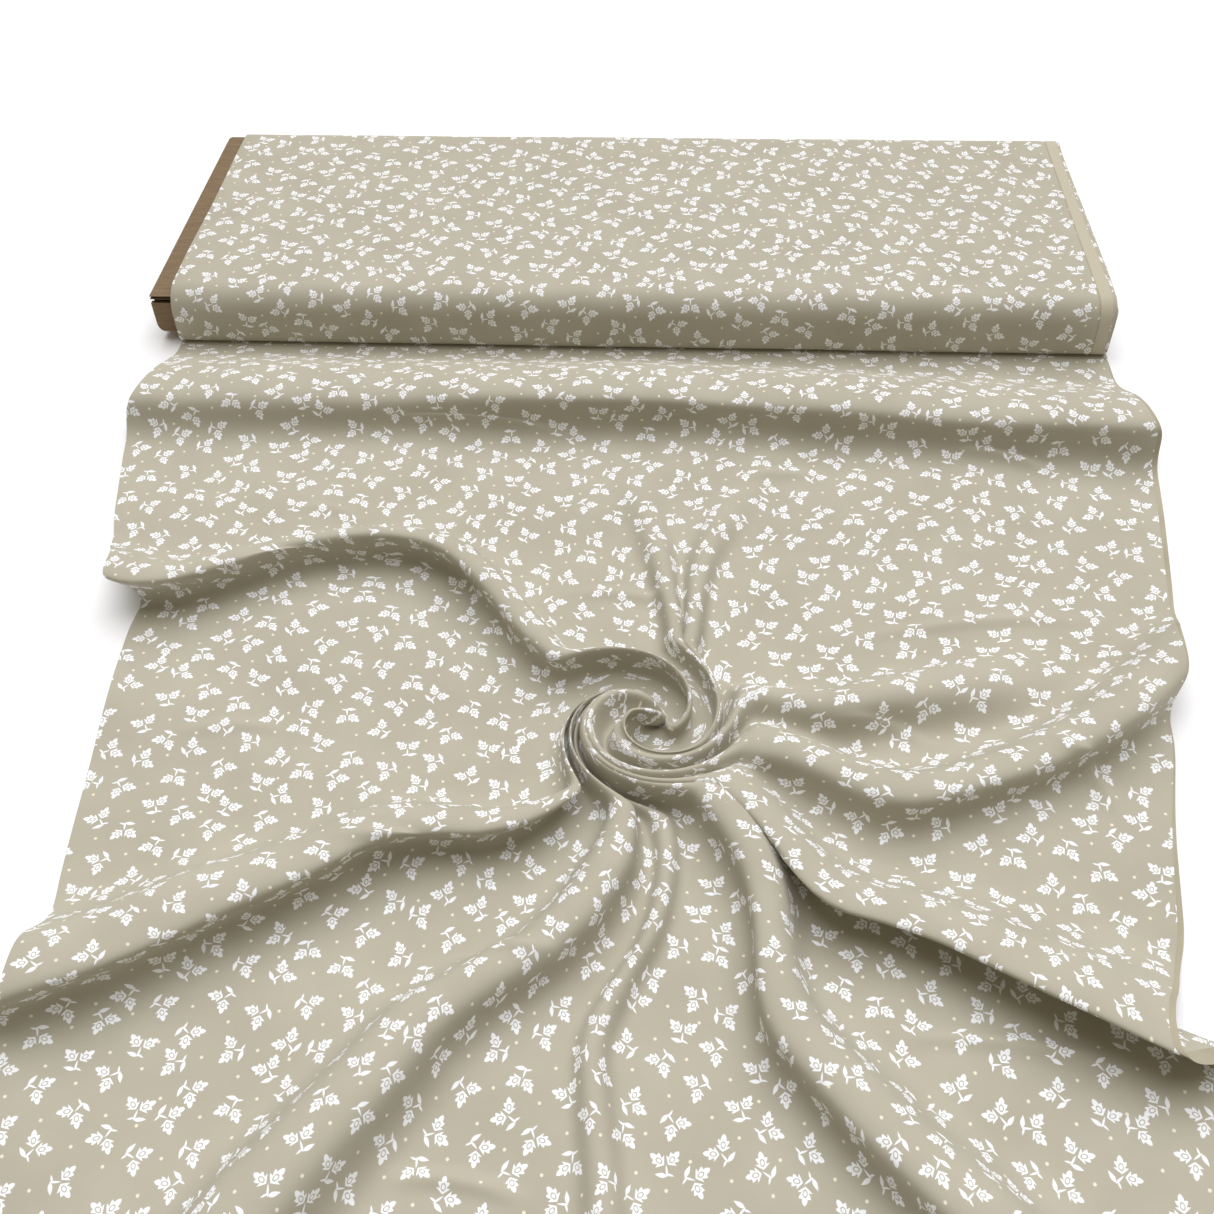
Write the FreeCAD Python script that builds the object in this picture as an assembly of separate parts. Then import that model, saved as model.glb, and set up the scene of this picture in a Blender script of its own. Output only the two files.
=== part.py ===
"""Fabric bolt: a doubled cotton cloth wound on a flat corrugated board, its free length laid out in front.

The bolt lies flat with its long side along X. The cloth leaves it at the lower rear edge, runs forward
under it, and lies doubled on the table, with a hump close to the bolt and a twisted swirl in the middle.
Millimetres, +Z up. The origin is the centre of the bolt's footprint, on the table.
"""
import FreeCAD, Part
from math import cos, exp, hypot, radians, sin, tan
import os

V = FreeCAD.Vector

# Bolt: the cloth's winding, measured over the outermost turn.
PACK_LENGTH = 750.0            # half of the 1.50 m cloth width, because the cloth is doubled
PACK_WIDTH = 282.0
PACK_HEIGHT = 48.0
PACK_CORNER_TOP = 20.0         # soft rounding of the winding's upper edges
PACK_CORNER_BOTTOM = 7.0       # pressed flatter underneath
OUTER_TURN = 1.0               # one doubled turn, with the air that is caught in it
REST_GAP = 0.3                 # between the winding and the cloth it lies on
RIGHT_TELESCOPE = 4.0          # the inner turns stand out past the outermost one at the selvage end

# Board: a die-cut corrugated blank folded into a flat box.
BOARD_LENGTH = 762.0
BOARD_WIDTH = 270.0
BOARD_THICKNESS = 35.0
BOARD_LEFT_END = -392.5        # the board stands 17.5 mm out of the cloth's folded edge
CARD = 3.0                     # single-wall corrugated card
CARD_FOLD_RADIUS = 3.5
SLIT_HEIGHT = 3.0              # open seam along the front, under the top panel's cut edge
BOARD_CLEARANCE = 0.3          # between the board and the innermost turn
FRAYED_CORNER = 9.0            # the front panel's lower end corner is knocked round
RIB_LENGTH = 740.0
FLAP_CLEARANCE = 0.4
FLAP_SETBACK = 1.5             # how far inside the board's end a flap stands
FLAP_SIDE_GAP = 1.0

# Cloth on the table, one value for each of its two layers.
LOWER_LAYER = 0.8
UPPER_LAYER = 1.2
SHEET_END = -890.0             # y of the cut end
FRONT_CLEARANCE = 0.5          # between the bolt's front and the start of the laid cloth

# The laid cloth's outline: (y, left x, right x). It narrows where the swirl draws it in.
OUTLINE = [
    (-141.5, -375.0, 375.0),
    (-175.0, -381.0, 381.0),
    (-215.0, -390.0, 389.0),
    (-280.0, -379.0, 380.0),
    (-350.0, -362.0, 370.0),
    (-430.0, -345.0, 360.0),
    (-520.0, -318.0, 345.0),
    (-610.0, -304.0, 326.0),
    (-700.0, -302.0, 313.0),
    (-790.0, -298.0, 305.0),
    (SHEET_END, -293.0, 300.0),
]

SWIRL_CENTRE = (17.0, -544.0)
SWIRL_RADIUS = 62.0            # of the ring of folds round the swirl's hollow
SWIRL_HEIGHT = 31.0
SWIRL_RING_WIDTH = 30.0

HUMP_Y = -207.0                # the long hump that stands beside the bolt
HUMP_HEIGHT = 27.0
HUMP_HALF_WIDTH = 26.0

# Folds that run into the swirl: half width, then (x, y, height) along the crest.
FOLDS = {
    "left_crest": (24.0, [(-352, -440, 27), (-265, -415, 30), (-181, -396, 34), (-87, -458, 31), (-15, -505, 26)]),
    "rear_ridge": (20.0, [(50, -500, 24), (58, -420, 18), (85, -335, 10), (115, -255, 4)]),
    "right_crest": (22.0, [(75, -575, 24), (159, -527, 28), (240, -493, 22), (345, -458, 12)]),
    "front_right_crest": (25.0, [(30, -590, 26), (64, -640, 28), (153, -697, 34), (300, -745, 36)]),
    "front_fold": (24.0, [(40, -610, 20), (75, -670, 22), (140, -750, 26), (195, -890, 24)]),
    "front_left_fold": (26.0, [(-20, -600, 20), (-55, -675, 25), (-85, -760, 25), (-130, -890, 22)]),
    "left_front_crest": (28.0, [(-35, -570, 24), (-110, -636, 33), (-204, -692, 37), (-302, -722, 37)]),
}
GRID_ACROSS = 56               # interpolation points of the upper layer's surface
GRID_ALONG = 56


def box(x_low, x_high, y_low, y_high, z_low, z_high):
    """An axis-aligned block between two corners."""
    return Part.makeBox(x_high - x_low, y_high - y_low, z_high - z_low, V(x_low, y_low, z_low))


def rounded_section(x, half_width, z_low, z_high, radius_low, radius_high):
    """A closed YZ outline with rounded corners, as a face at the given x."""
    corners = [
        (-half_width, z_low, radius_low, 180.0),
        (half_width, z_low, radius_low, 270.0),
        (half_width, z_high, radius_high, 0.0),
        (-half_width, z_high, radius_high, 90.0),
    ]
    ends = []
    arcs = []
    for y, z, radius, start in corners:
        centre_y = y - radius if y > 0 else y + radius
        centre_z = z + radius if z == z_low else z - radius
        points = []
        for step in (0.0, 45.0, 90.0):
            angle = radians(start + step)
            points.append(V(x, centre_y + radius * cos(angle), centre_z + radius * sin(angle)))
        arcs.append(Part.Arc(*points).toShape())
        ends.append((points[0], points[2]))
    edges = []
    for index, arc in enumerate(arcs):
        edges.append(arc)
        following = ends[(index + 1) % len(ends)][0]
        edges.append(Part.LineSegment(ends[index][1], following).toShape())
    return Part.Face(Part.Wire(edges))


def prism(x_low, x_high, half_width, z_low, z_high, radius_low, radius_high):
    """A bar along X with a rounded section."""
    section = rounded_section(x_low, half_width, z_low, z_high, radius_low, radius_high)
    return section.extrude(V(x_high - x_low, 0, 0))


PACK_LOW = OUTER_TURN + REST_GAP
BOARD_MIDDLE = (PACK_LOW + PACK_HEIGHT) / 2
BOARD_LOW = BOARD_MIDDLE - BOARD_THICKNESS / 2
BOARD_HIGH = BOARD_MIDDLE + BOARD_THICKNESS / 2
BOARD_RIGHT_END = BOARD_LEFT_END + BOARD_LENGTH
INSIDE_LOW = BOARD_LOW + CARD
INSIDE_HIGH = BOARD_HIGH - CARD
INSIDE_HALF = BOARD_WIDTH / 2 - CARD


def make_board_wrapper():
    """The folded blank: four panels round a hollow, open along a seam under the top panel's front edge."""
    outside = prism(BOARD_LEFT_END, BOARD_RIGHT_END, BOARD_WIDTH / 2, BOARD_LOW, BOARD_HIGH,
                    CARD_FOLD_RADIUS, CARD_FOLD_RADIUS)
    hollow = box(BOARD_LEFT_END - 1, BOARD_RIGHT_END + 1, -INSIDE_HALF, INSIDE_HALF, INSIDE_LOW, INSIDE_HIGH)
    seam = box(BOARD_LEFT_END - 1, BOARD_RIGHT_END + 1, -BOARD_WIDTH / 2 - 1, -INSIDE_HALF,
               INSIDE_HIGH - SLIT_HEIGHT, INSIDE_HIGH)
    front = -BOARD_WIDTH / 2 - 1
    corner = V(BOARD_LEFT_END, front, BOARD_LOW + CARD)
    centre = V(BOARD_LEFT_END + FRAYED_CORNER, front, BOARD_LOW + CARD + FRAYED_CORNER)
    middle = centre - V(FRAYED_CORNER * cos(radians(45)), 0, FRAYED_CORNER * sin(radians(45)))
    side = V(BOARD_LEFT_END, front, centre.z)
    foot = V(centre.x, front, corner.z)
    outline = Part.Wire([
        Part.LineSegment(corner, side).toShape(),
        Part.Arc(side, middle, foot).toShape(),
        Part.LineSegment(foot, corner).toShape(),
    ])
    knocked_off = Part.Face(outline).extrude(V(0, CARD + 1, 0))
    return outside.cut(hollow).cut(seam).cut(knocked_off)


def make_centre_rib():
    """A card strip on edge along the middle, which keeps the top and bottom panels apart."""
    middle_x = (BOARD_LEFT_END + BOARD_RIGHT_END) / 2
    return box(middle_x - RIB_LENGTH / 2, middle_x + RIB_LENGTH / 2, -CARD / 2, CARD / 2,
               INSIDE_LOW, INSIDE_HIGH)


def make_end_flap(side):
    """A card flap tucked upright inside one end of the board; side is -1 for left and 1 for right."""
    end = BOARD_LEFT_END if side < 0 else BOARD_RIGHT_END
    outer = end - side * FLAP_SETBACK
    inner = outer - side * CARD
    half = INSIDE_HALF - FLAP_SIDE_GAP
    return box(min(outer, inner), max(outer, inner), -half, half,
               INSIDE_LOW + FLAP_CLEARANCE, INSIDE_HIGH - 2 * FLAP_CLEARANCE)


def make_inner_turns():
    """The winding between the board and the outermost turn, as one plain ring of cloth."""
    outside = prism(-PACK_LENGTH / 2, PACK_LENGTH / 2, PACK_WIDTH / 2 - OUTER_TURN, PACK_LOW,
                    PACK_HEIGHT - OUTER_TURN, PACK_CORNER_BOTTOM, PACK_CORNER_TOP - OUTER_TURN)
    opening = prism(-PACK_LENGTH / 2 - 1, PACK_LENGTH / 2 + 1, BOARD_WIDTH / 2 + BOARD_CLEARANCE,
                    BOARD_LOW - BOARD_CLEARANCE, BOARD_HIGH + BOARD_CLEARANCE,
                    CARD_FOLD_RADIUS, CARD_FOLD_RADIUS)
    return outside.cut(opening)


def make_outer_turn():
    """The outermost turn: up the rear, over the top and down the front. Underneath it lies on the table."""
    right = PACK_LENGTH / 2 - RIGHT_TELESCOPE
    outside = prism(-PACK_LENGTH / 2, right, PACK_WIDTH / 2, PACK_LOW, PACK_HEIGHT,
                    PACK_CORNER_BOTTOM, PACK_CORNER_TOP)
    inside = prism(-PACK_LENGTH / 2 - 1, right + 1, PACK_WIDTH / 2 - OUTER_TURN, PACK_LOW,
                   PACK_HEIGHT - OUTER_TURN, PACK_CORNER_BOTTOM, PACK_CORNER_TOP - OUTER_TURN)
    return outside.cut(inside)


def make_cloth_under_bolt():
    """The doubled cloth that runs forward under the bolt from its lower rear edge."""
    return box(-PACK_LENGTH / 2, PACK_LENGTH / 2, -PACK_WIDTH / 2 - FRONT_CLEARANCE, PACK_WIDTH / 2,
               0, OUTER_TURN)


def outline_spline(column):
    """One side edge of the laid cloth, as a smooth curve on the table."""
    curve = Part.BSplineCurve()
    curve.interpolate([V(row[column], row[0], 0) for row in OUTLINE])
    return curve


def make_lower_layer():
    """The under layer of the doubled cloth, flat on the table."""
    left = outline_spline(1)
    right = outline_spline(2)
    rear = Part.LineSegment(left.StartPoint, right.StartPoint)
    end = Part.LineSegment(left.EndPoint, right.EndPoint)
    wire = Part.Wire(Part.__sortEdges__([left.toShape(), end.toShape(), right.toShape(), rear.toShape()]))
    return Part.Face(wire).extrude(V(0, 0, LOWER_LAYER))


def fold_height(x, y, half_width, crest):
    """Height of one fold at a point: the crest's height, fading sideways like a bell."""
    best = 0.0
    for (x0, y0, h0), (x1, y1, h1) in zip(crest, crest[1:]):
        along = ((x - x0) * (x1 - x0) + (y - y0) * (y1 - y0)) / hypot(x1 - x0, y1 - y0) ** 2
        along = min(max(along, 0.0), 1.0)
        distance = hypot(x - x0 - along * (x1 - x0), y - y0 - along * (y1 - y0))
        height = (h0 + along * (h1 - h0)) * exp(-((distance / half_width) ** 2))
        best = max(best, height)
    return best


def cloth_height(x, y):
    """Height of the upper layer over the lower one: the hump, the folds and the ring of the swirl."""
    hump = HUMP_HEIGHT * exp(-(((y - HUMP_Y) / HUMP_HALF_WIDTH) ** 2))
    from_ring = hypot(x - SWIRL_CENTRE[0], y - SWIRL_CENTRE[1]) - SWIRL_RADIUS
    ring = SWIRL_HEIGHT * exp(-((from_ring / SWIRL_RING_WIDTH) ** 2))
    heights = [hump, ring]
    for half_width, crest in FOLDS.values():
        heights.append(fold_height(x, y, half_width, crest))
    return sum(height ** 4 for height in heights) ** 0.25


def make_upper_layer():
    """The upper layer: one sheet of even thickness that rises over the hump and the folds."""
    left = outline_spline(1)
    right = outline_spline(2)
    rows = []
    for row in range(GRID_ALONG):
        y = OUTLINE[0][0] + (SHEET_END - OUTLINE[0][0]) * row / (GRID_ALONG - 1)
        left_x = left.intersectCC(Part.LineSegment(V(-600, y, 0), V(0, y, 0)))[0].X
        right_x = right.intersectCC(Part.LineSegment(V(0, y, 0), V(600, y, 0)))[0].X
        points = []
        for column in range(GRID_ACROSS):
            x = left_x + (right_x - left_x) * column / (GRID_ACROSS - 1)
            points.append(V(x, y, LOWER_LAYER + cloth_height(x, y)))
        rows.append(points)
    surface = Part.BSplineSurface()
    surface.interpolate(rows)
    return surface.toShape().extrude(V(0, 0, UPPER_LAYER))


NODES = {
    "board_wrapper": make_board_wrapper,
    "board_centre_rib": make_centre_rib,
    "board_left_end_flap": lambda: make_end_flap(-1),
    "board_right_end_flap": lambda: make_end_flap(1),
    "wound_inner_turns": make_inner_turns,
    "wound_outer_turn": make_outer_turn,
    "cloth_under_bolt": make_cloth_under_bolt,
    "laid_cloth_lower_layer": make_lower_layer,
    "laid_cloth_upper_layer": make_upper_layer,
}

os.makedirs("parts", exist_ok=True)
for name, make in NODES.items():
    shape = make()
    if shape.ShapeType != "Solid" and len(shape.Solids) == 1:
        shape = shape.Solids[0]
    bounds = shape.BoundBox
    print(f"{name}: {shape.ShapeType}, valid {shape.isValid()}, {shape.Volume / 1000:.1f} cm3, "
          f"x {bounds.XMin:.1f}..{bounds.XMax:.1f}, y {bounds.YMin:.1f}..{bounds.YMax:.1f}, "
          f"z {bounds.ZMin:.1f}..{bounds.ZMax:.1f}")
    shape.exportStep(f"parts/{name}.step")
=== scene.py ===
"""Looks of the fabric bolt: printed cotton wound on a corrugated board, its free length laid out in folds."""
import math

import bpy
import numpy as np
from mathutils import Matrix, Vector


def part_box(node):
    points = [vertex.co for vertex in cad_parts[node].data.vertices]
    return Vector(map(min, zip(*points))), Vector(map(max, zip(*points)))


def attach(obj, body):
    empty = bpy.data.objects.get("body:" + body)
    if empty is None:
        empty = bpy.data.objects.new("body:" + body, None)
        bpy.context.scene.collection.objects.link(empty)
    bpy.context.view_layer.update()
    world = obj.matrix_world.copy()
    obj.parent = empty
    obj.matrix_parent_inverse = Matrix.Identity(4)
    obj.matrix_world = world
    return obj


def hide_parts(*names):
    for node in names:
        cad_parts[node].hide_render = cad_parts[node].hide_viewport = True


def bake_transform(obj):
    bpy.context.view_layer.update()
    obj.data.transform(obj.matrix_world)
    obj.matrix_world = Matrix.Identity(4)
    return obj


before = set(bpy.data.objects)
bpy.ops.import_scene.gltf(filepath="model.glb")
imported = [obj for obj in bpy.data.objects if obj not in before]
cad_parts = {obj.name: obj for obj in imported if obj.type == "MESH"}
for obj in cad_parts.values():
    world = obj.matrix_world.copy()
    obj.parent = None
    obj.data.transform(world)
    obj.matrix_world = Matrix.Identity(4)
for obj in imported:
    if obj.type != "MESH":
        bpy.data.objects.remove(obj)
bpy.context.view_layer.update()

MM = 0.001
PACK_LOW, PACK_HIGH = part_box("wound_outer_turn")
_, TURNS_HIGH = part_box("wound_inner_turns")
BOARD_LOW, BOARD_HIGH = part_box("board_wrapper")
_, UNDER_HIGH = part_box("cloth_under_bolt")
_, SHEET_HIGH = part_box("laid_cloth_upper_layer")
HALF_LENGTH = UNDER_HIGH[0]                 # half of the doubled cloth's width
SHEET_START = SHEET_HIGH[1]                 # where the laid cloth leaves the bolt

LAYER_GAP = 0.4 * MM                        # between the two layers of the laid cloth
UNDER_TOP = 0.9                             # mm, height of the doubled cloth lying under the bolt
LOOSE_LIFT = (0.6, 150.0, 200.0)            # mm the loose cloth lies higher than that, and where it starts to
GRID_STEP = 4.0 * MM                        # between neighbouring points of the laid cloth
PRINT_STEPS = 2000                          # rounds in which the print settles on the folded cloth
PRINT_PULL = 0.11                           # share of a wrong distance that one round mends at each end
SELVAGE = 9.5                               # mm of unprinted cloth along the open edges
PRINT_END = 420.0                           # mm, place in the UV map beyond which the cloth is plain
LOWER_SLIP = (2.5, 1.5, 71.0)               # mm the lower layer's open edge stands out, its change, its wave

# --- The laid cloth's folds -------------------------------------------------------------------------
# The cloth was pinched at one point and twisted. All lengths are in mm. Places on the flat cloth are u,
# across it towards the selvages, and v, along it, negative in front. Each fold is set out round the pinched
# point:
# - route: (radius mm, angle degrees) along its crest, 0 towards the selvages and 90 towards the bolt;
# - excess: (radius mm, mm of cloth that the fold takes up) and width: mm of flat cloth that makes it;
# - lean: (radius mm, how far the crest leans over, as a share of its height).
# The routes are measured: crest points were read off the photograph and put through the fitted camera by a
# scratch program, another one gave corrections, and the results were rounded and in places changed by hand.
PINCHED = (9.0, -620.0)                     # the pinched point on the flat cloth
PINCHED_AT = -554.0                         # where that point ends up along the table
TWISTED = (19.0, -536.0)                    # what the fingers turned it about
TWIST = 215.0                               # degrees, clockwise
TWIST_RING = (4.0, 68.0)                    # mm from there: all of the twist inside, none outside
FOLDS = {
    "left_crest": dict(route=[(150, 128), (255, 126), (312, 139), (345, 149), (380, 155), (425, 156)],
                       excess=[(0, 62), (500, 72)], width=96, lean=[(200, 0.15), (290, 0.7)]),
    "left_front_crest": dict(route=[(110, -142), (200, -159.5), (260, -157), (373, -154), (423, -154.5)],
                             excess=[(0, 68), (500, 70)], width=110, lean=[(0, 0.45)]),
    "front_left_fold": dict(route=[(110, -90), (250, -118.5), (320, -119), (390, -119.5)],
                            excess=[(0, 46), (500, 42)], width=100, lean=[(0, 0.1)]),
    "front_crease": dict(route=[(110, -64), (230, -94), (335, -90)],
                         excess=[(0, 16), (400, 8)], width=36, lean=[(0, 0.0)]),
    "front_right_fold": dict(route=[(110, -36), (240, -64), (381, -57)],
                             excess=[(0, 48), (500, 44)], width=92, lean=[(0, -0.3)]),
    "right_front_crest": dict(route=[(110, -9), (200, -32), (252, -27), (302, -25.5), (381, -24.5)],
                              excess=[(0, 60), (500, 72)], width=90, lean=[(0, -0.5), (200, -0.9)]),
    "right_crest": dict(route=[(125, 14), (212, -5), (255, 1.5), (298, 7), (348, 13.5), (398, 19)],
                        excess=[(0, 44), (500, 40)], width=92, lean=[(0, -0.4)]),
    "right_rear_fold": dict(route=[(93, 53), (174, 23), (222, 22.5), (290, 22)],
                            excess=[(0, 32), (200, 28), (320, 0)], width=76, lean=[(0, -0.2)]),
    "rear_right_fold": dict(route=[(144, 63), (216, 72.5), (287, 74), (348, 72)],
                            excess=[(0, 40), (140, 26), (250, 12), (380, 0)], width=46, lean=[(0, 0.0)]),
    "rear_left_fold": dict(route=[(140, 75), (252, 87), (347, 95)],
                           excess=[(0, 40), (140, 26), (250, 12), (380, 0)], width=46, lean=[(0, 0.0)]),
}
CLOTH_LENGTH = 868.0                        # of the flat cloth in front of the bolt
PINCH_RADIUS = 45.0                         # inside it the folds take less and less cloth
FOLDS_IN_A_TURN = 9.0                       # how many folds fit side by side close to the swirl
FOLD_SPREAD = (0.3, 150.0, 450.0)           # how much wider folds get, between two distances from the pinch
STEEPEST = 0.72                             # the most cloth a fold takes up, as a share of its width
HUMP_MIDDLE = -219.0                        # v of the hump beside the bolt, over its left half
HUMP_SKEW = 22.0                            # how much further in front it lies at the selvages
HUMP_WIDTH = 150.0                          # flat cloth that makes the hump
HUMP_EXCESS = [(-375, 18), (-200, 22), (-30, 34), (200, 31), (375, 29)]     # (u, cloth taken up) along it
HUMP_LEAN = 0.75                            # how far its crest leans forward, as a share of its height
BOLT_HOLDS = (-480.0, -250.0)               # from where to where the bolt takes over from the pinch
SAG = 44.0                                  # folds sag under their own weight and stay below this height
LEFT_WAIST = (0.072, 200.0, 580.0)          # how much narrower the pinch draws the cloth, between two places
RIGHT_WAIST = (0.078, 250.0, 720.0)
EDGE = 375.0                                # u of the selvages

# (v, how far the cloth's edge lies off to the right there), mm. These two are not chosen values: a scratch
# program compared this cloth's outline with the photograph's, and they are the differences that it gave,
# thinned out, rounded and in places changed by hand.
LEFT_DRIFT = [(-141, 0), (-205, 4), (-250, -7), (-280, -11), (-325, -7), (-385, -4), (-400, 0), (-445, 13),
              (-465, 10), (-505, -11), (-550, -13), (-610, -10), (-685, -5), (-740, 0), (-775, 8), (-820, 8)]
RIGHT_DRIFT = [(-141, 0), (-210, -3), (-265, 3), (-295, 8), (-355, 8), (-400, 11), (-440, 15), (-500, 10),
               (-550, 18), (-575, 23), (-610, 19), (-655, 12), (-700, 7), (-735, 2), (-788, -31), (-808, -14),
               (-832, 10), (-865, 10), (-910, 0)]
# (start, end, height) of small creases pressed into the flat cloth, mm. The first nine lie where a scratch
# program put points read off the photograph, moved a little by hand; the last six are guessed.
CREASES = [
    ((-185, -260), (-45, -283), 4.2), ((240, -291), (310, -316), 4.0), ((296, -572), (354, -650), 4.4),
    ((-142, -810), (-44, -822), 4.4), ((-104, -941), (-34, -948), 4.2), ((190, -839), (306, -846), 4.0),
    ((-34, -437), (42, -444), 4.2), ((190, -471), (322, -452), 3.6), ((-278, -445), (-224, -435), 3.4),
    ((-212, -700), (-150, -716), 3.0), ((120, -690), (176, -730), 3.0), ((80, -330), (150, -322), 2.6),
    ((-330, -610), (-262, -596), 2.8), ((-240, -356), (-190, -372), 2.6), ((180, -560), (246, -572), 2.8),
]
CREASE_WIDTH = 4.2
CREASE_BOW = 5.0                            # how far a crease's middle lies off the line between its ends
LAID_UNEVENNESS = (3.4, 142.0, 190.0)       # mm, and where it starts in front of the bolt
WOUND_UNEVENNESS = 0.5


def smooth(x, low, high):
    """0 below low, 1 above high, and a smooth step between."""
    t = np.clip((x - low) / (high - low), 0, 1)
    return t * t * (3 - 2 * t)


def fold_tables():
    """A fold's section, an elastic curve, for a range of steepness: move across it and height, per width."""
    steepness = np.linspace(0, 2.35, 120)
    along = np.linspace(0, 1, 201)
    angle = steepness[:, None] * np.sin(2 * np.pi * along)[None, :]

    def summed(values):
        total = np.zeros_like(values)
        total[:, 1:] = np.cumsum((values[:, 1:] + values[:, :-1]) / 2, axis=1) / (len(along) - 1)
        return total

    return summed(np.cos(angle) - 1), summed(np.sin(angle))


ACROSS, HEIGHT = fold_tables()


def fold_section(distance, width, excess):
    """How far a fold moves the cloth across itself, and how high it lifts it."""
    row = np.interp(excess / width, -ACROSS[:, -1], np.arange(len(ACROSS)))
    column = np.clip(distance / width + 0.5, 0, 1) * (ACROSS.shape[1] - 1)
    r0 = np.clip(row.astype(int), 0, ACROSS.shape[0] - 2)
    c0 = np.clip(column.astype(int), 0, ACROSS.shape[1] - 2)
    fr = row - r0
    fc = column - c0
    results = []
    for table in (ACROSS, HEIGHT):
        low = table[r0, c0] * (1 - fc) + table[r0, c0 + 1] * fc
        high = table[r0 + 1, c0] * (1 - fc) + table[r0 + 1, c0 + 1] * fc
        results.append((low * (1 - fr) + high * fr) * width)
    return results


def along_route(pairs, radius):
    """A value given at a few radii, between them and beyond, with its corners smoothed."""
    at, value = zip(*pairs)
    shifts = (-24, -12, 0, 12, 24)
    return sum(np.interp(radius + shift, at, value) for shift in shifts) / len(shifts)


def crease_height(u, v):
    """The small creases over the flat cloth."""
    height = np.zeros_like(u)
    for (start_u, start_v), (end_u, end_v), top in CREASES:
        length = math.hypot(end_u - start_u, end_v - start_v)
        along_u = (end_u - start_u) / length
        along_v = (end_v - start_v) / length
        along = ((u - start_u) * along_u + (v - start_v) * along_v) / length
        bow = CREASE_BOW * np.sin(np.pi * np.clip(along, 0, 1))
        off = (v - start_v) * along_u - (u - start_u) * along_v - bow
        window = smooth(along, -0.1, 0.35) * (1 - smooth(along, 0.65, 1.1))
        ridge = np.exp(-(off / CREASE_WIDTH) ** 2)
        valley = np.exp(-((off - 1.7 * CREASE_WIDTH) / CREASE_WIDTH) ** 2)
        height += top * window * (ridge - 0.45 * valley)
    return height


def unevenness(u, v):
    """A gentle unevenness of 0 to 1 over the cloth, with swells one to three hands' breadths apart."""
    waves = np.sin(u / 23 + v / 41) + np.sin(u / 37 - v / 26 + 1.3) + np.sin(u / 61 + v / 17 + 4.1)
    return 0.5 + waves / 6


def folded(u, v):
    """Where points of the flat cloth lie when it is pinched, twisted and pushed up beside the bolt, in mm."""
    dx = u - PINCHED[0]
    dy = v - PINCHED[1]
    radius = np.hypot(dx, dy) + 1e-6
    bearing = np.arctan2(dy, dx)
    move_x = np.zeros_like(u)
    move_y = np.zeros_like(u)
    height = np.zeros_like(u)
    taken = radius / (radius + PINCH_RADIUS)
    for fold in FOLDS.values():
        crest = np.radians(along_route(fold["route"], radius))
        room = 2 * np.pi * radius / FOLDS_IN_A_TURN
        width = np.minimum(fold["width"] * (1 + FOLD_SPREAD[0] * smooth(radius, *FOLD_SPREAD[1:])), room)
        excess = np.minimum(along_route(fold["excess"], radius) * taken, STEEPEST * width)
        turn = (bearing - crest + np.pi) % (2 * np.pi) - np.pi
        across, lift = fold_section(radius * turn, width, excess)
        across += excess / 2 + excess * turn / (2 * np.pi)
        across += along_route(fold["lean"], radius) * lift
        move_x -= across * np.sin(crest)
        move_y += across * np.cos(crest)
        height += lift
    middle = HUMP_MIDDLE - HUMP_SKEW * smooth(u, 0, EDGE)
    pushed, hump = fold_section(middle - v, np.full_like(u, HUMP_WIDTH), along_route(HUMP_EXCESS, u))
    at_bolt = smooth(v, *BOLT_HOLDS)
    left_waist, right_waist = (share * smooth(-v, *places) for share, *places in (LEFT_WAIST, RIGHT_WAIST))
    waist = np.where(u < 0, left_waist, right_waist)
    x = u * (1 - waist) + move_x * (1 - at_bolt)
    y = v + (move_y + PINCHED_AT - PINCHED[1]) * (1 - at_bolt) - (pushed + HUMP_LEAN * hump) * at_bolt
    drift = np.where(u < 0, along_route(LEFT_DRIFT[::-1], v), along_route(RIGHT_DRIFT[::-1], v))
    x = x + drift * (u / EDGE) ** 2
    z = SAG * np.tanh((height * (1 - at_bolt) + hump) / SAG)
    uneven = LAID_UNEVENNESS[0] * unevenness(u, v) * smooth(-v, *LAID_UNEVENNESS[1:])
    z = np.maximum(z + crease_height(u, v), 0) + uneven
    rx = x - TWISTED[0]
    ry = y - TWISTED[1]
    turned = -np.radians(TWIST * (1 - smooth(np.hypot(rx, ry), *TWIST_RING)))
    x = TWISTED[0] + rx * np.cos(turned) - ry * np.sin(turned)
    y = TWISTED[1] + rx * np.sin(turned) + ry * np.cos(turned)
    return x, y, z


def grid_mesh(name, points, uv):
    """A mesh of quads over a grid of points, with a UV map in metres."""
    rows, columns, _ = points.shape
    index = np.arange(rows * columns).reshape(rows, columns)
    faces = np.stack([index[:-1, :-1], index[1:, :-1], index[1:, 1:], index[:-1, 1:]], -1).reshape(-1, 4)
    mesh = bpy.data.meshes.new(name)
    mesh.from_pydata(points.reshape(-1, 3).tolist(), [], faces.tolist())
    layer = mesh.uv_layers.new(name="cloth")
    corners = np.zeros(len(mesh.loops), int)
    mesh.loops.foreach_get("vertex_index", corners)
    layer.data.foreach_set("uv", uv.reshape(-1, 2)[corners].ravel())
    mesh.polygons.foreach_set("use_smooth", np.ones(len(mesh.polygons), bool))
    piece = bpy.data.objects.new(name, mesh)
    bpy.context.scene.collection.objects.link(piece)
    return piece


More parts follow.
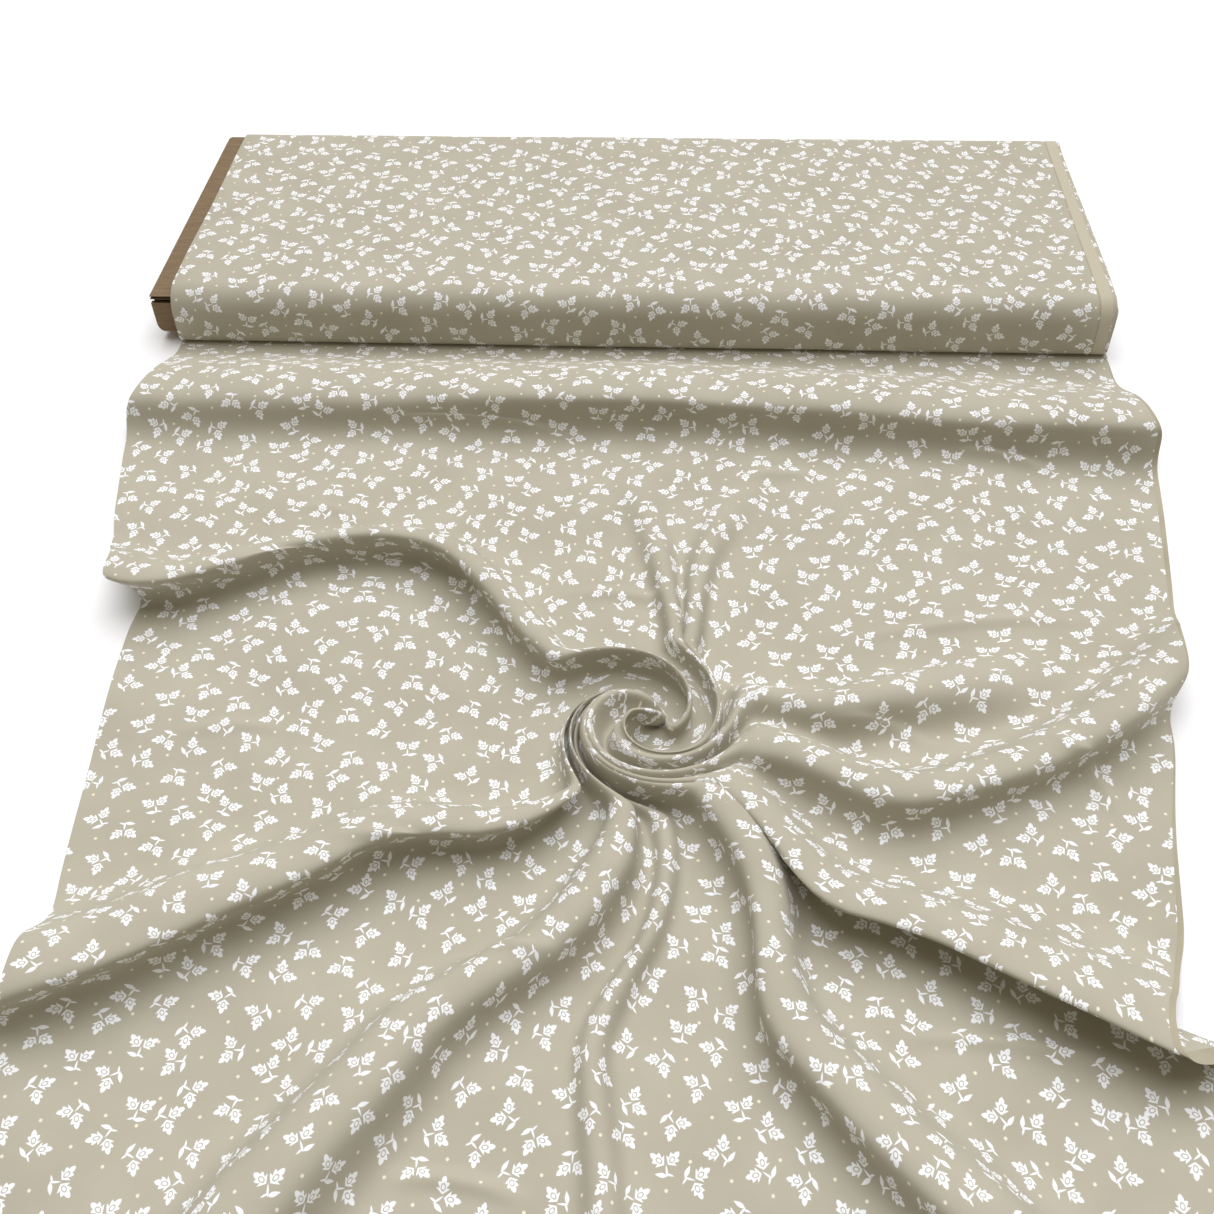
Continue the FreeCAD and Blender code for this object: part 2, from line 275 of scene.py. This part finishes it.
def doubled(points, uv, gap, slip):
    """Both layers of a doubled cloth whose upper layer is given, right to left in each row.

    The lower layer's open edge stands out by slip, and the fold at the left is rounded.
    """
    across = np.gradient(points, axis=1)
    down = -np.cross(across, np.gradient(points, axis=0))
    down /= np.linalg.norm(down, axis=2)[:, :, None]
    left = points[:, -1:]
    outward = left - points[:, -2:-1]
    outward /= np.linalg.norm(outward, axis=2)[:, :, None]
    fold = []
    for c, w in ((0.6, 0.5), (0, 0.7), (-0.6, 0.5)):
        fold.append(left + down[:, -1:] * gap * (1 - c) / 2 + outward * gap * w)
    under = points + down * gap
    at_selvage = across[:, :1]
    under[:, :2] -= at_selvage / np.linalg.norm(at_selvage, axis=2)[:, :, None] * slip[:, None, None]
    width = uv[:, :, 0].max()
    under_uv = uv.copy()
    under_uv[:, :, 0] = -2 * width - uv[:, :, 0] - 0.001
    fold_uv = [uv[:, -1:] - (0.00025 * step, 0) for step in (1, 2, 3)]
    return (np.concatenate([points] + fold + [under[:, ::-1]], 1),
            np.concatenate([uv] + fold_uv + [under_uv[:, ::-1]], 1))


def settled_print(points, flat):
    """The grid's flat places, moved until neighbours are as far apart as they are on the folded cloth."""
    flat = flat.copy()
    pairs = [((slice(None), slice(0, -1)), (slice(None), slice(1, None))),
             ((slice(0, -1), slice(None)), (slice(1, None), slice(None))),
             ((slice(0, -1), slice(0, -1)), (slice(1, None), slice(1, None))),
             ((slice(0, -1), slice(1, None)), (slice(1, None), slice(0, -1)))]
    lengths = [np.linalg.norm(points[b] - points[a], axis=2) for a, b in pairs]
    for _ in range(PRINT_STEPS):
        moves = np.zeros_like(flat)
        for (a, b), length in zip(pairs, lengths):
            apart = flat[b] - flat[a]
            now = np.linalg.norm(apart, axis=2) + 1e-9
            pull = apart * ((now - length) / now)[:, :, None] * PRINT_PULL
            moves[a] += pull
            moves[b] -= pull
        flat += moves
    return flat


def make_laid_cloth():
    """The two layers of the laid cloth, joined along the fold at the left and open at the selvages."""
    columns = round(2 * HALF_LENGTH / GRID_STEP) + 1
    rows = round(CLOTH_LENGTH * MM / GRID_STEP) + 1
    u, v = np.meshgrid(
        np.linspace(HALF_LENGTH, -HALF_LENGTH, columns) / MM,
        SHEET_START / MM - np.linspace(0, CLOTH_LENGTH, rows),
    )
    x, y, z = folded(u, v)
    lift = UNDER_TOP + LOOSE_LIFT[0] * smooth(-v, *LOOSE_LIFT[1:])
    upper = np.stack([x, y, z + lift], -1) * MM
    places = settled_print(upper, np.stack([u, v], -1) * MM)
    least, change, wave = LOWER_SLIP
    slip = (least + change * np.sin(v[:, 0] / wave)) * MM
    points, uv = doubled(upper, places, LAYER_GAP, slip)
    cloth = grid_mesh("laid_cloth_layers", points, uv)
    faces_in_row = points.shape[1] - 1
    selvage_faces = round(SELVAGE * MM / GRID_STEP)
    for face in cloth.data.polygons:
        if face.index % faces_in_row >= faces_in_row - selvage_faces:
            face.material_index = 1
    smoother = cloth.modifiers.new("smooth", "SUBSURF")
    smoother.levels = 1
    smoother.render_levels = 1
    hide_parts("laid_cloth_upper_layer", "laid_cloth_lower_layer")
    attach(cloth, "laid_cloth")
    return cloth


# --- Winding ----------------------------------------------------------------------------------------
TURNS = 11
TURN_PITCH = 0.5                            # mm, a doubled turn
BOTTOM_CORNER = 7.0                         # mm, radii of the winding's corners
TOP_CORNER = 20.0
INNER_CORNER = 4.0                          # of all four, on the board
CORNER_STEPS = 8
TURN_ROOM = 112.0                           # mm, from here the cloth rises to the winding's lower rear corner
EDGE_STEPS = 9                              # points of the last turn that bend when the bolt tips up
STRIP_FOLD = 0.12                           # mm, radius of a strip's fold at the left
STRIP_GAP = 0.25                            # mm between a strip's two layers


def turn_outline(offset):
    """One loop of the winding at a depth below its surface: (y, z) in mm, from the lower rear corner up."""
    depth = offset / (TURNS * TURN_PITCH)
    half = PACK_HIGH[1] / MM - offset
    low = PACK_LOW[2] / MM + offset
    high = PACK_HIGH[2] / MM - offset
    bottom = BOTTOM_CORNER + (INNER_CORNER - BOTTOM_CORNER) * depth
    top = TOP_CORNER + (INNER_CORNER - TOP_CORNER) * depth
    corners = [
        (half - bottom, low + bottom, bottom, -90),
        (half - top, high - top, top, 0),
        (top - half, high - top, top, 90),
        (bottom - half, low + bottom, bottom, 180),
    ]
    spans = [3, 26, 3, 26]
    loop = []
    for (y, z, radius, start), span, following in zip(corners, spans, corners[1:] + corners[:1]):
        for step in range(CORNER_STEPS + 1):
            angle = math.radians(start + 90 * step / CORNER_STEPS)
            loop.append((y + radius * math.cos(angle), z + radius * math.sin(angle)))
        fy, fz, fr, fs = following
        end = (fy + fr * math.cos(math.radians(fs)), fz + fr * math.sin(math.radians(fs)))
        here = loop[-1]
        for step in range(1, span):
            t = step / span
            loop.append((here[0] + (end[0] - here[0]) * t, here[1] + (end[1] - here[1]) * t))
    return np.array(loop)


def spiral(first, last):
    """The cloth's path through some of the turns, each a little deeper than the one before."""
    outer = turn_outline(0)
    inner = turn_outline(TURNS * TURN_PITCH)
    count = len(outer)
    steps = np.arange(first * count, last * count + 1)
    depth = (steps / count) / TURNS
    at = steps % count
    return outer[at] * (1 - depth)[:, None] + inner[at] * depth[:, None]


def normals_of(path):
    """Unit normals of a (y, z) path, pointing into the winding."""
    along = np.gradient(path, axis=0)
    along /= np.linalg.norm(along, axis=1)[:, None]
    return np.stack([-along[:, 1], along[:, 0]], -1)


def doubled_strip(name, path, left, right, inner_right, columns, ripple, print_shift, swell):
    """A doubled strip of cloth along a path: outer layer, fold at the left, and inner layer.

    Its ends are uneven by ripple and its surface by swell; the inner layer is wider by inner_right.
    """
    inward = normals_of(path)
    across = np.linspace(0, 1, columns)
    length = np.concatenate([[0], np.cumsum(np.linalg.norm(np.diff(path, axis=0), axis=1))])
    rows = []
    uvs = []
    for index, (y, z) in enumerate(path):
        phase = length[index]
        low = left + ripple * (math.sin(phase / 61) + 0.6 * math.sin(phase / 23 + 1))
        high = right + ripple * (math.sin(phase / 47 + 2) + 0.6 * math.sin(phase / 19))
        row = []
        uv = []
        for t in across[::-1]:
            row.append((low + (high - low) * t, 0.0))
            uv.append(low + (high - low) * t + print_shift)
        for t in (45, 90, 135):
            angle = math.radians(t)
            row.append((low - STRIP_FOLD * math.sin(angle), STRIP_FOLD - STRIP_FOLD * math.cos(angle)))
            uv.append(low - STRIP_FOLD * t / 45 + print_shift)
        for t in across:
            row.append((low + (high + inner_right - low) * t, STRIP_GAP))
            uv.append(low - 2 * STRIP_GAP - (high - low) * t + print_shift)
        ny, nz = inward[index]
        out = swell * unevenness(np.array([x for x, _ in row]), -phase)
        rows.append([(x, y + ny * (deep - o), z + nz * (deep - o)) for (x, deep), o in zip(row, out)])
        uvs.append([(u, -phase) for u in uv])
    return grid_mesh(name, np.array(rows) * MM, np.array(uvs) * MM)


def make_winding():
    """The wound cloth from the laid cloth's rear edge on: under the bolt, round it, and the turns inside."""
    left = -HALF_LENGTH / MM
    right = HALF_LENGTH / MM
    turn = spiral(0, 1)
    foot = turn[0][0]
    under = np.array([(y, UNDER_TOP) for y in np.linspace(SHEET_START / MM, TURN_ROOM, 20)])
    rising = np.array([(y, UNDER_TOP + (PACK_LOW[2] / MM - UNDER_TOP) * smooth(y, TURN_ROOM, foot))
                       for y in np.linspace(TURN_ROOM, foot, 8)])
    at_edge = np.concatenate([rising, turn[1:EDGE_STEPS + 1]])
    turn = turn[EDGE_STEPS:]
    inner = spiral(1, TURNS)
    end = PACK_HIGH[0] / MM
    at_selvage = PRINT_END - (end - SELVAGE)
    # path, left and right end, how much wider the inner layer is, columns, ripple, print's shift, swell
    strips = {
        "cloth_below": (under, left, right, 0.8, 60, 0.0, 0.0, 0.0),
        "cloth_at_rear_edge": (at_edge, left + 0.6, end, 0.8, 60, 0.0, at_selvage, 0.0),
        "outer_turn": (turn, left + 0.6, end, 0.8, 60, 0.5, at_selvage, WOUND_UNEVENNESS),
        "inner_turns": (inner, left + 1.0, TURNS_HIGH[0] / MM - 0.9, 0.5, 7, 0.7, -12.0, 0.0),
    }
    pieces = {}
    for name, (path, *settings) in strips.items():
        piece = doubled_strip(name, path, *settings)
        pieces[name] = piece
    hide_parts("cloth_under_bolt")
    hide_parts("wound_outer_turn")
    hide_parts("wound_inner_turns")
    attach(pieces["cloth_below"], "laid_cloth")
    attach(pieces["outer_turn"], "winding")
    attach(pieces["inner_turns"], "winding")
    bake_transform(pieces["cloth_at_rear_edge"])
    return list(pieces.values())


# --- Board ------------------------------------------------------------------------------------------
CARD = 3.0                                  # mm, thickness of the single-wall card
LINER = 0.35
FLUTE_HALF = 0.12                           # half the thickness of the fluted middle
FLUTE_PITCH = 6.6
FOLD_RADIUS = 3.5
SLIT = 3.0                                  # open seam under the top panel's cut edge
FRONT_KNOCK = 9.0                           # radii of the two corners that handling has knocked in
REAR_KNOCK = 8.0


def shell(path, offsets, low, high, along):
    """A thin shell along a path between two distances from it, drawn out from low to high."""
    inward = normals_of(path)
    near = path + inward * np.broadcast_to(offsets[0], (len(path),))[:, None]
    far = path + inward * np.broadcast_to(offsets[1], (len(path),))[:, None]
    section = np.concatenate([near, far[::-1]])
    count = len(section)
    verts = []
    for out in (low, high):
        verts += [(out, a, b) if along == "x" else (a, out, b) for a, b in section]
    faces = [(i, (i + 1) % count, count + (i + 1) % count, count + i) for i in range(count)]
    for end in (0, count):
        for i in range(len(path) - 1):
            faces.append((end + i, end + i + 1, end + count - 2 - i, end + count - 1 - i))
    return verts, faces


def card_piece(name, path, low, high, along="x"):
    """Single-wall card bent along a path: two liners and a fluted middle."""
    path = np.array(path)
    length = np.concatenate([[0], np.cumsum(np.linalg.norm(np.diff(path, axis=0), axis=1))])
    coarse = np.union1d(length, np.arange(0, length[-1], 2.0))
    fine = np.linspace(0, length[-1], max(int(length[-1] / (FLUTE_PITCH / 10)), 8))
    coarse_path, fine_path = (
        np.stack([np.interp(steps, length, path[:, axis]) for axis in (0, 1)], -1) for steps in (coarse, fine)
    )
    wave = CARD / 2 + (CARD / 2 - LINER - FLUTE_HALF) * np.sin(fine * 2 * math.pi / FLUTE_PITCH)
    shells = [
        (coarse_path, (0.0, LINER)),
        (coarse_path, (CARD - LINER, CARD)),
        (fine_path, (wave - FLUTE_HALF, wave + FLUTE_HALF)),
    ]
    verts = []
    faces = []
    for shell_path, offsets in shells:
        new_verts, new_faces = shell(shell_path, offsets, low, high, along)
        start = len(verts)
        verts += new_verts
        faces += [tuple(start + i for i in face) for face in new_faces]
    mesh = bpy.data.meshes.new(name)
    mesh.from_pydata([tuple(c * MM for c in vert) for vert in verts], [], faces)
    mesh.validate()
    piece = bpy.data.objects.new(name, mesh)
    bpy.context.scene.collection.objects.link(piece)
    return piece


def knocked(radius, from_corner):
    """How far in metres a knocked corner has gone in, at a distance in mm from the corner."""
    away = radius - from_corner
    return (radius - math.sqrt(max(radius ** 2 - away ** 2, 0))) * MM


def knock_corners(wrapper, low, high):
    """Round the front lower and the rear upper corner at the board's left end."""
    panel = CARD + 1
    for vert in wrapper.data.vertices:
        x, y, z = (c / MM for c in vert.co)
        if x > low[0] + 1:
            continue
        if y < low[1] + panel and z < low[2] + FRONT_KNOCK:
            vert.co.x += knocked(FRONT_KNOCK, z - low[2])
        if y > high[1] - REAR_KNOCK and z > high[2] - panel:
            vert.co.x += knocked(REAR_KNOCK, high[1] - y)


def make_board():
    """The folded blank with its open front seam, the rib inside and the two end flaps."""
    low = np.array(BOARD_LOW) / MM
    high = np.array(BOARD_HIGH) / MM
    half = high[1]
    r = FOLD_RADIUS
    path = [(-half, high[2] - CARD - SLIT)]
    for y, z, start in ((r - half, low[2] + r, 180), (half - r, low[2] + r, 270), (half - r, high[2] - r, 0)):
        for step in range(7):
            angle = math.radians(start + 15 * step)
            path.append((y + r * math.cos(angle), z + r * math.sin(angle)))
    path.append((-half + 0.4, high[2]))
    wrapper = card_piece("board_panels", path, low[0], high[0])
    knock_corners(wrapper, low, high)
    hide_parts("board_wrapper")
    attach(wrapper, "board")
    rib_low, rib_high = (np.array(c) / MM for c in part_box("board_centre_rib"))
    rib_path = [(rib_high[1], rib_low[2]), (rib_high[1], rib_high[2])]
    rib = card_piece("board_rib", rib_path, rib_low[0], rib_high[0])
    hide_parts("board_centre_rib")
    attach(rib, "board")
    pieces = [wrapper, rib]
    for side in ("left", "right"):
        flap_low, flap_high = (np.array(c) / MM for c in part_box(f"board_{side}_end_flap"))
        flap_path = [(flap_high[0], flap_low[2]), (flap_high[0], flap_high[2])]
        flap = card_piece(f"{side}_end_flap", flap_path, flap_low[1], flap_high[1], along="y")
        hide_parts(f"board_{side}_end_flap")
        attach(flap, f"{side}_flap")
        pieces.append(flap)
    return pieces


# --- Materials --------------------------------------------------------------------------------------
class Nodes:
    """A shader node tree with short calls for its arithmetic."""

    def __init__(self, tree):
        self.tree = tree

    def new(self, kind, **settings):
        node = self.tree.nodes.new(kind)
        for name, value in settings.items():
            setattr(node, name, value)
        return node

    def put(self, socket, value):
        if isinstance(value, bpy.types.NodeSocket):
            self.tree.links.new(value, socket)
        else:
            socket.default_value = value

    def math(self, operation, *values, clamp=False):
        node = self.new("ShaderNodeMath", operation=operation, use_clamp=clamp)
        for socket, value in zip(node.inputs, values):
            self.put(socket, value)
        return node.outputs[0]

    def vector(self, operation, *values):
        node = self.new("ShaderNodeVectorMath", operation=operation)
        for socket, value in zip(node.inputs, values):
            self.put(socket, value)
        return node.outputs[0]

    def parts(self, vector):
        node = self.new("ShaderNodeSeparateXYZ")
        self.put(node.inputs[0], vector)
        return node.outputs

    def ramp(self, value, low, high, to_low=0.0, to_high=1.0):
        node = self.new("ShaderNodeMapRange")
        for socket, item in zip(node.inputs, (value, low, high, to_low, to_high)):
            self.put(socket, item)
        return node.outputs[0]

    def turned(self, vector, angle):
        node = self.new("ShaderNodeVectorRotate", rotation_type="Z_AXIS")
        self.put(node.inputs["Vector"], vector)
        self.put(node.inputs["Angle"], angle)
        return node.outputs[0]

    def mix(self, share, first, second):
        node = self.new("ShaderNodeMix", data_type="RGBA")
        self.put(node.inputs["Factor"], share)
        self.put(node.inputs["A"], first)
        self.put(node.inputs["B"], second)
        return node.outputs["Result"]

    def noise(self, vector, scale, detail):
        node = self.new("ShaderNodeTexNoise")
        self.put(node.inputs["Vector"], vector)
        self.put(node.inputs["Scale"], scale)
        self.put(node.inputs["Detail"], detail)
        return node.outputs["Fac"]


GROUND = ((0.417, 0.387, 0.302, 1), (0.458, 0.428, 0.337, 1))       # dyed ground, between two tones
PLAIN = (0.50, 0.46, 0.345, 1)              # the unprinted selvage
BORDER = (0.30, 0.255, 0.17, 1)             # the line where the print ends
PRINT_WHITE = (0.86, 0.87, 0.88, 1)
PRINT_CREAM = (0.80, 0.74, 0.58, 1)
SPRIG_SPACING = 22.5                        # mm
SPRIG_SCATTER = 0.34                        # 0 a square grid of sprigs, 1 fully scattered
PRINT_TURN = 27                             # degrees between the grid of sprigs and the cloth's length
THREAD_PITCH = 0.42                         # mm from one thread of the weave to the next but one
KRAFT = ((0.155, 0.098, 0.045, 1), (0.225, 0.152, 0.078, 1))        # between the card's fibres and on them
KRAFT_RUBBED = (0.17, 0.115, 0.062, 1)


def leaf(nodes, place, angle, length, width, away=0.0, teeth=0.0):
    """How much of a leaf of the print covers a place in mm, and the place along and across that leaf."""
    x, y, _ = nodes.parts(nodes.turned(place, angle))
    x = nodes.math("SUBTRACT", x, away)
    t = nodes.math("DIVIDE", x, length, clamp=True)
    edge = nodes.math("SINE", nodes.math("MULTIPLY", nodes.math("POWER", t, 0.72), math.pi))
    if teeth:
        tooth = nodes.math("FRACT", nodes.math("MULTIPLY", t, teeth))
        edge = nodes.math("MULTIPLY", edge, nodes.ramp(tooth, 0.0, 1.0, 0.62, 1.32))
    inside = nodes.math("SUBTRACT", nodes.math("MULTIPLY", edge, width / 2), nodes.math("ABSOLUTE", y))
    return nodes.ramp(inside, 0.0, 0.2), x, y


def bud(nodes, place, angle, length, width):
    """One serrated bud of the print with an open ring in it."""
    whole, x, y = leaf(nodes, place, angle, length, width, 1.3, 3.2)
    ring_x = nodes.math("DIVIDE", nodes.math("SUBTRACT", x, length * 0.36), 1.55)
    ring_y = nodes.math("DIVIDE", y, 1.05)
    away = nodes.math("SQRT", nodes.math("ADD", nodes.math("MULTIPLY", ring_x, ring_x),
                                         nodes.math("MULTIPLY", ring_y, ring_y)))
    off_ring = nodes.ramp(nodes.math("ABSOLUTE", nodes.math("SUBTRACT", away, 1.0)), 0.10, 0.30)
    return nodes.math("MULTIPLY", whole, off_ring)


def print_cells(nodes, place):
    """Cells of the print, each round its own point."""
    cells = nodes.new("ShaderNodeTexVoronoi", voronoi_dimensions="2D")
    nodes.put(cells.inputs["Vector"], place)
    nodes.put(cells.inputs["Scale"], 1 / SPRIG_SPACING)
    nodes.put(cells.inputs["Randomness"], SPRIG_SCATTER)
    return cells


def printed_colour(nodes, place, tone):
    """Sprigs of two buds with a stem and leaves, turned every way, and dots, on the cloth's ground."""
    swirled = nodes.turned(place, math.radians(PRINT_TURN))
    cells = print_cells(nodes, swirled)
    local = nodes.vector("SUBTRACT", swirled, cells.outputs["Position"])
    chance = nodes.parts(cells.outputs["Color"])
    local = nodes.turned(local, nodes.math("MULTIPLY", chance[0], 2 * math.pi))
    upright = nodes.math("GREATER_THAN", chance[1], 0.5)
    flip = nodes.math("SUBTRACT", nodes.math("MULTIPLY", upright, 2.0), 1.0)
    lx, ly, _ = nodes.parts(local)
    join = nodes.new("ShaderNodeCombineXYZ")
    nodes.put(join.inputs[0], nodes.math("MULTIPLY", lx, flip))
    nodes.put(join.inputs[1], nodes.math("ADD", ly, 1.6))
    sprig = join.outputs[0]
    white = bud(nodes, sprig, math.radians(-138), 9.2, 5.9)
    shapes = [                              # the other bud, two leaves and the stem
        bud(nodes, sprig, math.radians(-42), 8.8, 5.7),
        leaf(nodes, nodes.vector("ADD", sprig, (0.2, 4.4, 0)), math.radians(-168), 6.4, 2.5)[0],
        leaf(nodes, nodes.vector("ADD", sprig, (0.1, 3.4, 0)), math.radians(22), 4.2, 1.3)[0],
        leaf(nodes, nodes.vector("ADD", sprig, (0.0, 5.0, 0)), math.radians(-90), 6.6, 1.3)[0],
    ]
    for shape in shapes:
        white = nodes.math("MAXIMUM", white, shape)
    between = nodes.vector("ADD", swirled, (SPRIG_SPACING / 2, SPRIG_SPACING / 2, 0))
    gap = nodes.vector("DISTANCE", between, print_cells(nodes, between).outputs["Position"])
    dot = nodes.ramp(gap.node.outputs["Value"], 0.75, 1.05, 1.0, 0.0)
    from_border = nodes.math("SUBTRACT", nodes.parts(place)[0], PRINT_END)
    printed = nodes.math("LESS_THAN", from_border, 0.0)
    border = nodes.ramp(nodes.math("ABSOLUTE", from_border), 0.3, 0.9, 1.0, 0.0)
    ground = nodes.mix(nodes.ramp(tone, 0.3, 0.7), *GROUND)
    ground = nodes.mix(nodes.math("SUBTRACT", 1.0, printed), ground, PLAIN)
    ground = nodes.mix(nodes.math("MULTIPLY", border, 0.6), ground, BORDER)
    colour = nodes.mix(nodes.math("MULTIPLY", dot, printed), ground, PRINT_CREAM)
    colour = nodes.mix(nodes.math("MULTIPLY", white, printed), colour, PRINT_WHITE)
    return colour


def cotton_cloth(name, with_print):
    """Plain-weave cotton, with or without its small all-over print of bud sprigs and dots."""
    material = bpy.data.materials.new(name)
    material.use_nodes = True
    nodes = Nodes(material.node_tree)
    shader = material.node_tree.nodes["Principled BSDF"]
    uv = nodes.new("ShaderNodeUVMap", uv_map="cloth").outputs[0]
    place = nodes.vector("SCALE", uv)
    place.node.inputs["Scale"].default_value = 1 / MM
    tone = nodes.noise(place, 0.02, 3.0)
    if with_print:
        colour = printed_colour(nodes, place, tone)
    else:
        colour = nodes.mix(tone, PLAIN, BORDER)
    nodes.put(shader.inputs["Base Color"], colour)
    shader.inputs["Roughness"].default_value = 0.85
    shader.inputs["Sheen Weight"].default_value = 0.12
    shader.inputs["Specular IOR Level"].default_value = 0.25
    px, py, _ = nodes.parts(place)
    warp = nodes.math("SINE", nodes.math("MULTIPLY", px, 2 * math.pi / THREAD_PITCH))
    weft = nodes.math("SINE", nodes.math("MULTIPLY", py, 2 * math.pi / THREAD_PITCH))
    weave = nodes.math("MULTIPLY", warp, weft)
    slub = nodes.noise(place, 1.2, 3.0)
    relief = nodes.math("ADD", nodes.math("MULTIPLY", weave, 0.35), slub)
    bump = nodes.new("ShaderNodeBump")
    nodes.put(bump.inputs["Height"], relief)
    bump.inputs["Strength"].default_value = 0.25
    bump.inputs["Distance"].default_value = 0.0002
    nodes.put(shader.inputs["Normal"], bump.outputs[0])
    return material


def kraft_card():
    """Brown kraft liner: fibres along the board, and rubbed patches."""
    material = bpy.data.materials.new("kraft_card")
    material.use_nodes = True
    nodes = Nodes(material.node_tree)
    shader = material.node_tree.nodes["Principled BSDF"]
    place = nodes.new("ShaderNodeTexCoord").outputs["Object"]
    stretched = nodes.vector("MULTIPLY", place, (60.0, 400.0, 400.0))
    fibres = nodes.noise(stretched, 1.0, 6.0)
    blotch = nodes.noise(place, 25.0, 3.0)
    colour = nodes.mix(nodes.ramp(fibres, 0.3, 0.7), *KRAFT)
    colour = nodes.mix(nodes.ramp(blotch, 0.35, 0.75, 0.0, 0.4), colour, KRAFT_RUBBED)
    nodes.put(shader.inputs["Base Color"], colour)
    shader.inputs["Roughness"].default_value = 0.8
    bump = nodes.new("ShaderNodeBump")
    nodes.put(bump.inputs["Height"], fibres)
    bump.inputs["Strength"].default_value = 0.3
    bump.inputs["Distance"].default_value = 0.0004
    nodes.put(shader.inputs["Normal"], bump.outputs[0])
    return material


# --- Camera, light and floor ------------------------------------------------------------------------
EYE = (0.035, -1.0476, 0.646)               # m, where the camera stands
PITCH = 46.13                               # degrees down from level
YAW = -4.02                                 # degrees to the right of straight ahead
ROLL = -1.45
LENS = 40.03                                # mm, for a 36 mm wide picture
SKY = 0.30                                  # light from all around
SKY_COLOUR = (1, 0.91, 0.74, 1)
SUN = 3.25                                  # broad light from above and behind
SUN_COLOUR = (0.975, 0.99, 1.05)
SUN_SPREAD = 70.0                           # degrees
SUN_TILT = 21.0
SUN_SIDE = 4.0
FLOOR_REACH = 6.0                           # m
FLOOR_WHITE = (0.93, 0.93, 0.93, 1)


def make_camera():
    """A standing person's view across a table."""
    pitch, yaw, roll = (math.radians(angle) for angle in (PITCH, YAW, ROLL))
    ahead = Vector((math.sin(yaw) * math.cos(pitch), math.cos(yaw) * math.cos(pitch), -math.sin(pitch)))
    level = Vector((math.cos(yaw), -math.sin(yaw), 0))
    upward = level.cross(ahead)
    right = level * math.cos(roll) + upward * math.sin(roll)
    up = upward * math.cos(roll) - level * math.sin(roll)
    data = bpy.data.cameras.new("camera")
    data.sensor_width = 36
    data.lens = LENS
    camera = bpy.data.objects.new("camera", data)
    camera.matrix_world = Matrix((right, up, -ahead)).transposed().to_4x4()
    camera.matrix_world.translation = Vector(EYE)
    bpy.context.scene.collection.objects.link(camera)
    bpy.context.scene.camera = camera


def make_studio():
    """A white floor, light from all around and one broad light."""
    mesh = bpy.data.meshes.new("floor")
    corners = [(x * FLOOR_REACH, y * FLOOR_REACH, 0) for x, y in ((-1, -1), (1, -1), (1, 1), (-1, 1))]
    mesh.from_pydata(corners, [], [(0, 1, 2, 3)])
    floor = bpy.data.objects.new("floor", mesh)
    bpy.context.scene.collection.objects.link(floor)
    material = bpy.data.materials.new("floor")
    material.use_nodes = True
    shader = material.node_tree.nodes["Principled BSDF"]
    shader.inputs["Base Color"].default_value = FLOOR_WHITE
    shader.inputs["Roughness"].default_value = 0.9
    mesh.materials.append(material)
    world = bpy.data.worlds.new("world")
    bpy.context.scene.world = world
    world.use_nodes = True
    background = world.node_tree.nodes["Background"]
    background.inputs["Color"].default_value = SKY_COLOUR
    background.inputs["Strength"].default_value = SKY
    data = bpy.data.lights.new("ceiling_light", "SUN")
    data.energy = SUN
    data.angle = math.radians(SUN_SPREAD)
    data.color = SUN_COLOUR
    light = bpy.data.objects.new("ceiling_light", data)
    light.rotation_euler = (math.radians(-SUN_TILT), math.radians(SUN_SIDE), 0)
    bpy.context.scene.collection.objects.link(light)


bpy.context.scene.view_settings.view_transform = "Standard"
make_camera()
make_studio()
cotton = cotton_cloth("printed_cotton", True)
plain = cotton_cloth("plain_cotton", False)
card = kraft_card()
laid_cloth = make_laid_cloth()
for piece in [laid_cloth] + make_winding():
    piece.data.materials.append(cotton)
laid_cloth.data.materials.append(plain)
for piece in make_board():
    piece.data.materials.append(card)
for name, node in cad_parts.items():
    node.data.materials.clear()
    node.data.materials.append(card if "board" in name else cotton)
